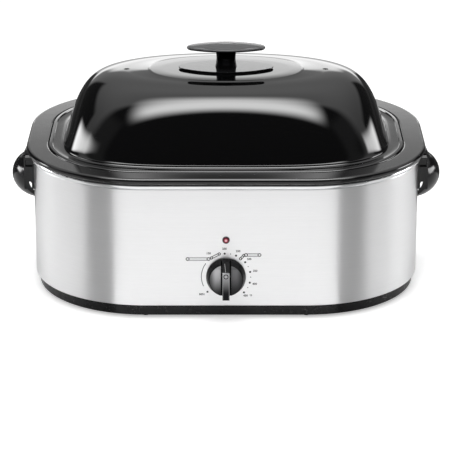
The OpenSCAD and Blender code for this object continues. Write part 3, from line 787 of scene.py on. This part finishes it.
def dome_face(directions, wall, steps):
    """Rings of one face of the dome, from the screw hole out to the flange."""

    def ring(a, b, power, z):
        return level_ring(directions, lambda d: oval_reach(a, b, power, d), z)

    a, b = OVAL_HALF
    top = DOME_TOP - wall
    rings = [ring(SCREW_HOLE, SCREW_HOLE, 2, top + OVAL_RISE)]
    rings += [ring(a - OVAL_SLOPE - k, b - OVAL_SLOPE - k, OVAL_POWER, top + OVAL_RISE)
              for k in OVAL_RINGS]
    for share, rise in SLOPE_RINGS:
        out = OVAL_SLOPE * share
        rings.append(ring(a - out, b - out, OVAL_POWER, top + OVAL_RISE * rise))
    for i in range(steps):
        v = math.radians(DOME_ANGLE * (1 - i / (steps - 1)) ** DOME_SPACING)
        share = math.sin(v) ** DOME_SWELL
        power = FOOT_POWER + (OVAL_POWER - FOOT_POWER) * share
        rings.append(ring(*dome_half(v, wall), power, DOME_LOW + (top - DOME_LOW) * share))
    radius = FOOT_FILLET + wall
    low = FLANGE_Z - wall
    a, b = dome_half(0, wall)
    for angle in FOOT_ANGLES:
        t = math.radians(angle)
        out = radius * (1 - math.sin(t))
        rings.append(ring(a + out, b + out, FOOT_POWER, low + radius * (1 - math.cos(t))))
    return rings


def lid_mesh(settings):
    """The pressed lid as one sheet: over the dome, round the rolled edge and back underneath."""
    directions = ring_directions(settings.ring_points)
    top = rounded(FLANGE_PATH)
    under = moved_right(top, LID_WALL)

    def plan_rings(path):
        return [level_ring(directions, lambda d, n=n: plan_reach(n, d), z) for n, z in path]

    over = dome_face(directions, 0.0, settings.dome_steps) + plan_rings(top)
    below = dome_face(directions, LID_WALL, settings.dome_steps) + plan_rings(under)
    return closed_loft("lid_pressing", over + below[::-1])


def bore(obj, cutters):
    """Cuts holes into a piece, one after another, and keeps the result as its mesh."""
    for cutter in cutters:
        cut = obj.modifiers.new("Hole", "BOOLEAN")
        cut.operation = "DIFFERENCE"
        cut.solver = "EXACT"
        cut.object = cutter
    bpy.context.view_layer.update()
    shown = obj.evaluated_get(bpy.context.evaluated_depsgraph_get())
    mesh = bpy.data.meshes.new_from_object(shown)
    obj.modifiers.clear()
    obj.data = mesh
    for cutter in cutters:
        bpy.data.objects.remove(cutter)


def drill(radius, height, place):
    """A round cutter that stands upright."""
    mesh = bpy.data.meshes.new("drill")
    shape = bmesh.new()
    bmesh.ops.create_cone(shape, cap_ends=True, segments=48, radius1=radius, radius2=radius,
                          depth=height, matrix=Matrix.Translation(place))
    shape.to_mesh(mesh)
    shape.free()
    obj = bpy.data.objects.new("drill", mesh)
    bpy.context.scene.collection.objects.link(obj)
    return obj


def make_lid():
    settings = bpy.context.scene.roaster_lid
    mesh = lid_mesh(settings)
    lid = link_piece("lid_pressing", mesh, "lid_enamel", "lid")
    places = (-VENT_PLACE, VENT_PLACE)
    bore(lid, [drill(settings.vent, 60 * MM, (x, 0, DOME_TOP - 10 * MM)) for x in places])
    smooth_by_angle(lid.data, 38)
    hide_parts("lid_shell")


# ---- marks on the front panel ----

PRINT = 0.06 * MM

# Marks by their angle clockwise from the top of the dial
DOT_ANGLES = {"200": -3, "250": 24, "300": 51, "350": 78, "400": 105, "450": 133}
SMALL_DOTS = (10.6, 64, 91, 118)
LOWEST_DOT = -131
ARC = (-55, -114)

# Figures outside the circle of dots: text, angle and distance from the circle
LOW_FIGURES = (("150", -35, 8.0 * MM), ("MIN", -128, 8.5 * MM))
FIGURES_OUT = 7.2 * MM

# Outlined bars: both ends, to the right of the knob's axis and up, and their share of the full width
BARS = (
    ((-54.0 * MM, 26.6 * MM), (-24.5 * MM, 26.6 * MM), 1.0),
    ((-20.5 * MM, 28.2 * MM), (-9.5 * MM, 34.2 * MM), 0.8),
    ((20.5 * MM, 27.0 * MM), (25.0 * MM, 32.0 * MM), 0.8),
    ((28.0 * MM, 32.6 * MM), (47.0 * MM, 32.6 * MM), 1.0),
)
BAR_WIDTH = 3.4 * MM
BAR_LINE = 1.0 * MM
ARC_LINE = 0.95 * MM


def on_panel(x, up):
    """A point of the front panel, from the knob's axis to the right and up."""
    return Vector((x, FRONT, CONTROL_Z + up))


def round_dial(angle, radius):
    """Right and up of a place on the dial, clockwise from the top."""
    t = math.radians(angle)
    return radius * math.sin(t), radius * math.cos(t)


class Print:
    """Flat shapes printed on the front panel, gathered into one mesh."""

    def __init__(self):
        self.shape = bmesh.new()

    def slab(self, outline):
        """A closed outline of (right, up), as a thin layer on the panel."""
        lower = [self.shape.verts.new(on_panel(x, up)) for x, up in outline]
        upper = [self.shape.verts.new(v.co - Vector((0, PRINT, 0))) for v in lower]
        self.shape.faces.new(upper)
        for i in range(len(lower)):
            j = (i + 1) % len(lower)
            self.shape.faces.new((lower[i], lower[j], upper[j], upper[i]))

    def dot(self, x, up, radius, points=28):
        turns = [math.tau * i / points for i in range(points)]
        self.slab([(x + radius * math.cos(t), up + radius * math.sin(t)) for t in turns])

    def line(self, path, width, closed=False):
        """A line of even width along a path, whose stretches overlap."""
        count = len(path)
        for i in range(count if closed else count - 1):
            a, b = Vector(path[i]), Vector(path[(i + 1) % count])
            along = (b - a).normalized() * width * 0.2
            across = Vector((along.y, -along.x)) * 2.5
            corners = (a - along - across, b + along - across, b + along + across, a - along + across)
            self.slab([tuple(corner) for corner in corners][::-1])

    def figures(self, text, x, up, size):
        """Letters or numbers centred on a place."""
        curve = bpy.data.curves.new("figures", "FONT")
        curve.body = text
        curve.size = size
        curve.align_x = "CENTER"
        curve.align_y = "CENTER"
        curve.extrude = PRINT / 2
        curve.offset = 0.13 * MM
        curve.resolution_u = 3
        obj = bpy.data.objects.new("figures", curve)
        bpy.context.scene.collection.objects.link(obj)
        bpy.context.view_layer.update()
        shown = obj.evaluated_get(bpy.context.evaluated_depsgraph_get())
        mesh = bpy.data.meshes.new_from_object(shown)
        stand = Matrix.Rotation(math.pi / 2, 4, "X")
        mesh.transform(Matrix.Translation(on_panel(x, up) - Vector((0, PRINT / 2, 0))) @ stand)
        self.shape.from_mesh(mesh)
        bpy.data.objects.remove(obj)
        bpy.data.meshes.remove(mesh)

    def piece(self, name):
        mesh = bpy.data.meshes.new(name)
        bmesh.ops.recalc_face_normals(self.shape, faces=self.shape.faces)
        self.shape.to_mesh(mesh)
        self.shape.free()
        ink = surface("printed_ink", printed_ink)
        return link_piece(name, mesh, "brushed_band", "oven_body", ink)


def print_numbers(dial):
    """Dots and numbers round the knob."""
    marks = Print()
    for text, angle in DOT_ANGLES.items():
        marks.dot(*round_dial(angle, dial.radius), dial.dot)
        x, up = round_dial(angle, dial.radius + FIGURES_OUT)
        marks.figures(text + ("  °F" if text == "450" else ""), x, up, dial.figure)
    for angle in SMALL_DOTS:
        marks.dot(*round_dial(angle, dial.radius), dial.dot * 0.5, 16)
    marks.dot(*round_dial(LOWEST_DOT, dial.radius), dial.dot)
    for text, angle, out in LOW_FIGURES:
        marks.figures(text, *round_dial(angle, dial.radius + out), dial.figure)
    return marks.piece("dial_numbers")


def outlined_bar(marks, start, end, width):
    """A bar drawn as its outline between two places, with a small ring at each end."""
    a, b = Vector(start), Vector(end)
    along = (b - a).normalized()
    across = Vector((-along.y, along.x)) * width / 2
    for side in (-1, 1):
        marks.line([a + across * side, b + across * side], BAR_LINE)
    radius = width * 0.62
    turns = [math.tau * i / 20 for i in range(20)]
    for middle in (a, b):
        ring = [(middle.x + radius * math.cos(t), middle.y + radius * math.sin(t)) for t in turns]
        marks.line(ring, BAR_LINE * 1.15, closed=True)


def print_range(dial):
    """The arc on the left, which marks the lowest settings, and the outlined bars beside its top."""
    marks = Print()
    steps = 20
    first, last = ARC
    arc = [round_dial(first + (last - first) * i / steps, dial.radius) for i in range(steps + 1)]
    marks.line(arc, ARC_LINE)
    for start, end, share in BARS:
        outlined_bar(marks, start, end, BAR_WIDTH * share)
    return marks.piece("dial_range")


# ---- studio ----


def make_lamp(name, power, size, place, aim):
    """A soft lamp for matt surfaces; gloss reflects the world instead."""
    light = bpy.data.lights.new(name, "AREA")
    light.shape = "RECTANGLE"
    light.energy = power
    light.size, light.size_y = size
    lamp = bpy.data.objects.new(name, light)
    lamp.location = place
    lamp.rotation_euler = (Vector(aim) - Vector(place)).to_track_quat("-Z", "Y").to_euler()
    lamp.visible_glossy = False
    bpy.context.scene.collection.objects.link(lamp)


# Dark flags stand beside the table. The steel mirrors their edges where the plan's corner has
# turned by these angles: the inner edge ahead and behind, and the outer edge.
AHEAD_SLANT = 16.4
BEHIND_SLANT = 6.0
OUTER_SLANT = 31.5


def flagged(inner, outer, behind):
    """Level of what stands low round the table: white ahead, dark flags beside it, grey at the ends."""
    depth = 0.66 + 0.26 * behind
    return 1.0 - depth * inner * (1.0 - outer) - 0.22 * outer


def flags_far(g, azimuth):
    """That level, by the direction of a far point."""
    folded = 90.0 - abs(abs(azimuth) - 90.0)
    behind = g.ease(abs(azimuth), 88.0, 92.0)
    first = folded + behind * 2.0 * (AHEAD_SLANT - BEHIND_SLANT)
    inner = g.ease(first, 2 * AHEAD_SLANT - 1.0, 2 * AHEAD_SLANT + 2.0)
    outer = g.ease(folded, 2 * OUTER_SLANT - 6.0, 2 * OUTER_SLANT + 6.0)
    return flagged(inner, outer, behind)


def past_edge(g, x, y, slant, soft):
    """1 beyond the line on the table along which the corner mirrors a flag's edge."""
    turn = math.radians(slant)
    near = (STRAIGHT_X + CORNER * math.sin(turn), STRAIGHT_Y + CORNER * math.cos(turn))
    past = (abs(x) - near[0]) * math.cos(2 * turn) - (abs(y) - near[1]) * math.sin(2 * turn)
    return g.ease(past, -soft, soft)


def flags_near(g, x, y):
    """That level, on the table."""
    behind = g.ease(y, -10 * MM, 10 * MM)
    ahead = past_edge(g, x, y, AHEAD_SLANT, 6 * MM)
    rear = past_edge(g, x, y, BEHIND_SLANT, 20 * MM)
    inner = ahead + behind * (rear - ahead)
    return flagged(inner, past_edge(g, x, y, OUTER_SLANT, 40 * MM), behind)


def overhead_box(g, x, y, z):
    """Soft box over the object, with a bowed rear edge, on a ceiling at a height of 1."""
    up = z.math("MAXIMUM", 0.05)
    across, back = x / up, y / up
    box = g.ease(back, -0.64, -0.26) * g.fade(back + 1.2 * across * across, -0.16, 0.42)
    return box * g.fade(abs(across - 0.05), 0.46, 0.84)


def rear_wall(g, azimuth, rise):
    """Grey wall behind, dark low at its sides, with a bright backdrop low in its middle."""
    turned = abs(azimuth)
    wall = g.ease(turned, 84.0, 100.0) * (0.50 + 0.60 * g.ease(rise, 24.0, 60.0))
    lopsided = rise + 7.0 * g.ease(azimuth, -1.0, 1.0)
    gap = g.between(turned, 109.0, 155.0, 3.0) * g.fade(lopsided, 29.0, 36.0)
    backdrop = g.ease(turned - 12.0 * g.ease(rise, 4.0, 13.0), 157.0, 163.0)
    backdrop = backdrop * g.fade(rise, 15.9, 17.4) * (1.0 - 0.40 * g.ease(rise, 15.1, 16.1))
    return wall * (1.0 - gap) + 2.2 * backdrop


def side_boxes(g, azimuth, rise):
    """Bright boxes at the sides, sloping down to the back; the left one's front end is raised."""
    past = abs(azimuth) - 96.0
    edge = rise + 0.5 * past.math("MAXIMUM", 0.0) + 0.25 * past.math("MINIMUM", 0.0)
    left = g.ease(azimuth, -130.0, -122.0) * g.fade(azimuth, -94.0, -68.0)
    left = left * (1.0 - g.ease(azimuth, -110.0, -102.0) * g.fade(rise, 18.0, 21.0))
    right = g.ease(azimuth, 94.0, 100.0) * g.fade(azimuth, 122.0, 132.0)
    return (10.0 * left + 7.5 * right) * g.fade(edge, 25.5, 30.0)


def front_cards(g, azimuth, rise):
    """Weak cards ahead of the object and at its flanks."""
    turned = abs(azimuth)
    ahead = g.fade(turned, 40.0, 65.0) * g.between(rise, 8.0, 18.0, 4.0)
    flank = g.between(turned, 60.0, 98.0, 6.0) * g.between(rise, 32.0, 48.0, 4.0)
    return 0.6 * ahead + 0.1 * flank


def mirrored_studio(g, studio):
    """What gloss reflects, by degrees of azimuth, 0 ahead and 90 to the right, and of rise."""
    way = g.add("ShaderNodeTexCoord", output="Generated")
    x, y, z = (g.add("ShaderNodeSeparateXYZ", None, [way], axis) for axis in range(3))
    degrees = 180.0 / math.pi
    azimuth = x.math("ARCTAN2", -y) * degrees
    rise = z.math("ARCSINE") * degrees
    high = g.ease(rise, 2.0, 7.0)
    level = 0.04 + studio.overhead * overhead_box(g, x, y, z) + rear_wall(g, azimuth, rise)
    level = level + side_boxes(g, azimuth, rise) * high + front_cards(g, azimuth, rise)
    return level * high + (1.0 - high) * flags_far(g, azimuth)


def make_world(studio):
    """White behind the object, even light on matt surfaces, and soft boxes for gloss."""
    world = bpy.data.worlds.new("studio")
    bpy.context.scene.world = world
    world.use_nodes = True
    g = Graph(world.node_tree)
    camera, diffuse, glossy, transmission = (
        g.add("ShaderNodeLightPath", output="Is " + kind + " Ray")
        for kind in ("Camera", "Diffuse", "Glossy", "Transmission"))
    level = camera + transmission + studio.plain_light * diffuse
    level = (level + mirrored_studio(g, studio) * glossy).math("MAXIMUM", 0.0)
    light = g.add("ShaderNodeBackground", None, {"Color": (1, 1, 1, 1), "Strength": level})
    g.add("ShaderNodeOutputWorld", None, {"Surface": light})


def make_floor():
    """A white table top, which keeps the shadow and shows the dark flags to gloss only."""
    shape = bmesh.new()
    bmesh.ops.create_grid(shape, x_segments=8, y_segments=8, size=14.0)
    mesh = bpy.data.meshes.new("table_top")
    shape.to_mesh(mesh)
    shape.free()
    floor = bpy.data.objects.new("table_top", mesh)
    bpy.context.scene.collection.objects.link(floor)
    material = bpy.data.materials.new("white_table")
    material.use_nodes = True
    g = Graph(material.node_tree)
    x, y, z = g.place()
    camera = g.add("ShaderNodeLightPath", output="Is Camera Ray")
    glossy = g.add("ShaderNodeLightPath", output="Is Glossy Ray")
    level = flags_near(g, x, y)
    tint = g.mix(glossy, (0.90, 0.90, 0.90), g.mix(level, (0, 0, 0), (1, 1, 1)))
    matt = g.add("ShaderNodeBsdfDiffuse", None, {"Color": tint})
    far = g.ease(g.distance(x, y), 1.0, 4.0)
    strength = (0.42 + 0.16 * far) * camera
    glow = g.add("ShaderNodeEmission", None, {"Color": (1, 1, 1, 1), "Strength": strength})
    both = g.add("ShaderNodeAddShader", None, [matt, glow])
    g.add("ShaderNodeOutputMaterial", None, {"Surface": both})
    mesh.materials.append(material)


def make_camera(studio):
    data = bpy.data.cameras.new("photograph")
    data.lens = studio.lens
    data.sensor_width = 36
    camera = bpy.data.objects.new("photograph", data)
    camera.location = studio.camera_place
    look = Vector(studio.camera_aim) - Vector(studio.camera_place)
    camera.rotation_euler = look.to_track_quat("-Z", "Y").to_euler()
    data.clip_end = 100
    bpy.context.scene.collection.objects.link(camera)
    bpy.context.scene.camera = camera


# ---- operators ----


class RoasterOperator:
    """What the roaster's operators share."""

    bl_options = {"REGISTER", "UNDO"}


class ROASTER_OT_steel_band(RoasterOperator, bpy.types.Operator):
    """Brushes the steel band of the body"""

    bl_idname = "roaster.steel_band"
    bl_label = "Steel band"

    def execute(self, context):
        dress("outer_shell")
        return {"FINISHED"}


class ROASTER_OT_trim_ring(RoasterOperator, bpy.types.Operator):
    """Polishes the bead round the top of the body"""

    bl_idname = "roaster.trim_ring"
    bl_label = "Trim ring"

    def execute(self, context):
        dress("trim_ring")
        return {"FINISHED"}


class ROASTER_OT_base(RoasterOperator, bpy.types.Operator):
    """Finishes the moulded base, its feet and its screws"""

    bl_idname = "roaster.base"
    bl_label = "Base and feet"

    def execute(self, context):
        dress("base_tray")
        dress("rubber_feet")
        dress("base_screws")
        return {"FINISHED"}


class ROASTER_OT_heated_well(RoasterOperator, bpy.types.Operator):
    """Finishes the well, its tie, the heating strip and the insulation"""

    bl_idname = "roaster.heated_well"
    bl_label = "Heated well"

    def execute(self, context):
        for node in ("heating_well", "tie_bolt", "tie_sleeve", "tie_nut", "heater_strip",
                     "strip_clips", "insulation_wrap"):
            dress(node)
        return {"FINISHED"}


class ROASTER_OT_roasting_pan(RoasterOperator, bpy.types.Operator):
    """Enamels the roasting pan"""

    bl_idname = "roaster.roasting_pan"
    bl_label = "Roasting pan"

    def execute(self, context):
        dress("roasting_pan")
        return {"FINISHED"}


class ROASTER_OT_lid(RoasterOperator, bpy.types.Operator):
    """Presses the domed lid with its rolled edge and steam vents"""

    bl_idname = "roaster.lid"
    bl_label = "Lid"

    def execute(self, context):
        make_lid()
        return {"FINISHED"}


class ROASTER_OT_lid_grip(RoasterOperator, bpy.types.Operator):
    """Finishes the lid's grip, its plate, screw and washer"""

    bl_idname = "roaster.lid_grip"
    bl_label = "Lid grip"

    def execute(self, context):
        for node in ("lid_heat_shield", "lid_grip", "lid_grip_screw", "lid_washer"):
            dress(node)
        return {"FINISHED"}


class ROASTER_OT_side_handles(RoasterOperator, bpy.types.Operator):
    """Finishes the side handles and softens their edges"""

    bl_idname = "roaster.side_handles"
    bl_label = "Side handles"

    def execute(self, context):
        dress("left_handle", context.scene.roaster_finish.edge)
        dress("right_handle", context.scene.roaster_finish.edge)
        dress("handle_screws")
        return {"FINISHED"}


class ROASTER_OT_control_knob(RoasterOperator, bpy.types.Operator):
    """Finishes the temperature knob and its spring clip"""

    bl_idname = "roaster.control_knob"
    bl_label = "Temperature knob"

    def execute(self, context):
        dress("control_knob", context.scene.roaster_finish.edge)
        dress("knob_spring_clip")
        return {"FINISHED"}


class ROASTER_OT_thermostat(RoasterOperator, bpy.types.Operator):
    """Finishes the thermostat behind the knob"""

    bl_idname = "roaster.thermostat"
    bl_label = "Thermostat"

    def execute(self, context):
        for part in ("body", "bracket", "screws", "shaft"):
            dress("thermostat_" + part)
        return {"FINISHED"}


class ROASTER_OT_indicator(RoasterOperator, bpy.types.Operator):
    """Finishes the red indicator lamp"""

    bl_idname = "roaster.indicator"
    bl_label = "Indicator lamp"

    def execute(self, context):
        for part in ("lens", "lamp", "clip"):
            dress("indicator_" + part)
        return {"FINISHED"}


class ROASTER_OT_mains_side(RoasterOperator, bpy.types.Operator):
    """Finishes the gland, the terminal block, the fuse and the leads"""

    bl_idname = "roaster.mains_side"
    bl_label = "Mains side"

    def execute(self, context):
        for node in ("cord_gland", "gland_nut", "terminal_block", "thermal_fuse", "internal_leads"):
            dress(node)
        return {"FINISHED"}


class ROASTER_OT_dial(RoasterOperator, bpy.types.Operator):
    """Prints the dial round the temperature knob"""

    bl_idname = "roaster.dial"
    bl_label = "Dial print"

    def execute(self, context):
        dial = context.scene.roaster_dial
        print_numbers(dial)
        print_range(dial)
        return {"FINISHED"}


class ROASTER_OT_stage(RoasterOperator, bpy.types.Operator):
    """Sets up the white table, the light and the camera"""

    bl_idname = "roaster.stage"
    bl_label = "Table, light and camera"

    def execute(self, context):
        studio = context.scene.roaster_studio
        context.scene.view_settings.view_transform = "Standard"
        make_world(studio)
        make_floor()
        make_lamp("overhead_lamp", studio.lamp_power,
                  size=(2.0, 1.4), place=(0, -0.3, 2.2), aim=(0, 0, 0))
        make_lamp("front_lamp", studio.lamp_power * 0.4,
                  size=(1.6, 1.0), place=(-0.8, -2.2, 1.4), aim=(0, 0, 0.1))
        make_camera(studio)
        return {"FINISHED"}


class ROASTER_PT_panel(bpy.types.Panel):
    """Lists the steps that finish the roaster."""

    bl_idname = "ROASTER_PT_panel"
    bl_label = "Electric roaster"
    bl_space_type = "VIEW_3D"
    bl_region_type = "UI"
    bl_category = "Roaster"

    def draw(self, context):
        for step in STEPS:
            self.layout.operator(step.bl_idname)
        for group in ("roaster_finish", "roaster_lid", "roaster_dial", "roaster_studio"):
            settings = getattr(context.scene, group)
            box = self.layout.box()
            for name in settings.__annotations__:
                box.prop(settings, name)


STEPS = (
    ROASTER_OT_steel_band, ROASTER_OT_trim_ring, ROASTER_OT_base, ROASTER_OT_heated_well,
    ROASTER_OT_roasting_pan, ROASTER_OT_lid, ROASTER_OT_lid_grip, ROASTER_OT_side_handles,
    ROASTER_OT_control_knob, ROASTER_OT_thermostat, ROASTER_OT_indicator, ROASTER_OT_mains_side,
    ROASTER_OT_dial, ROASTER_OT_stage,
)
SETTINGS = {
    "roaster_finish": RoasterFinish,
    "roaster_lid": RoasterLid,
    "roaster_dial": RoasterDial,
    "roaster_studio": RoasterStudio,
}


def register():
    for cls in (*SETTINGS.values(), *STEPS, ROASTER_PT_panel):
        bpy.utils.register_class(cls)
    for name, group in SETTINGS.items():
        setattr(bpy.types.Scene, name, PointerProperty(type=group))


def unregister():
    for name in SETTINGS:
        delattr(bpy.types.Scene, name)
    for cls in reversed((*SETTINGS.values(), *STEPS, ROASTER_PT_panel)):
        bpy.utils.unregister_class(cls)


def main():
    register()
    for step in STEPS:
        group, name = step.bl_idname.split(".")
        getattr(getattr(bpy.ops, group), name)()


if __name__ == "__main__":
    main()
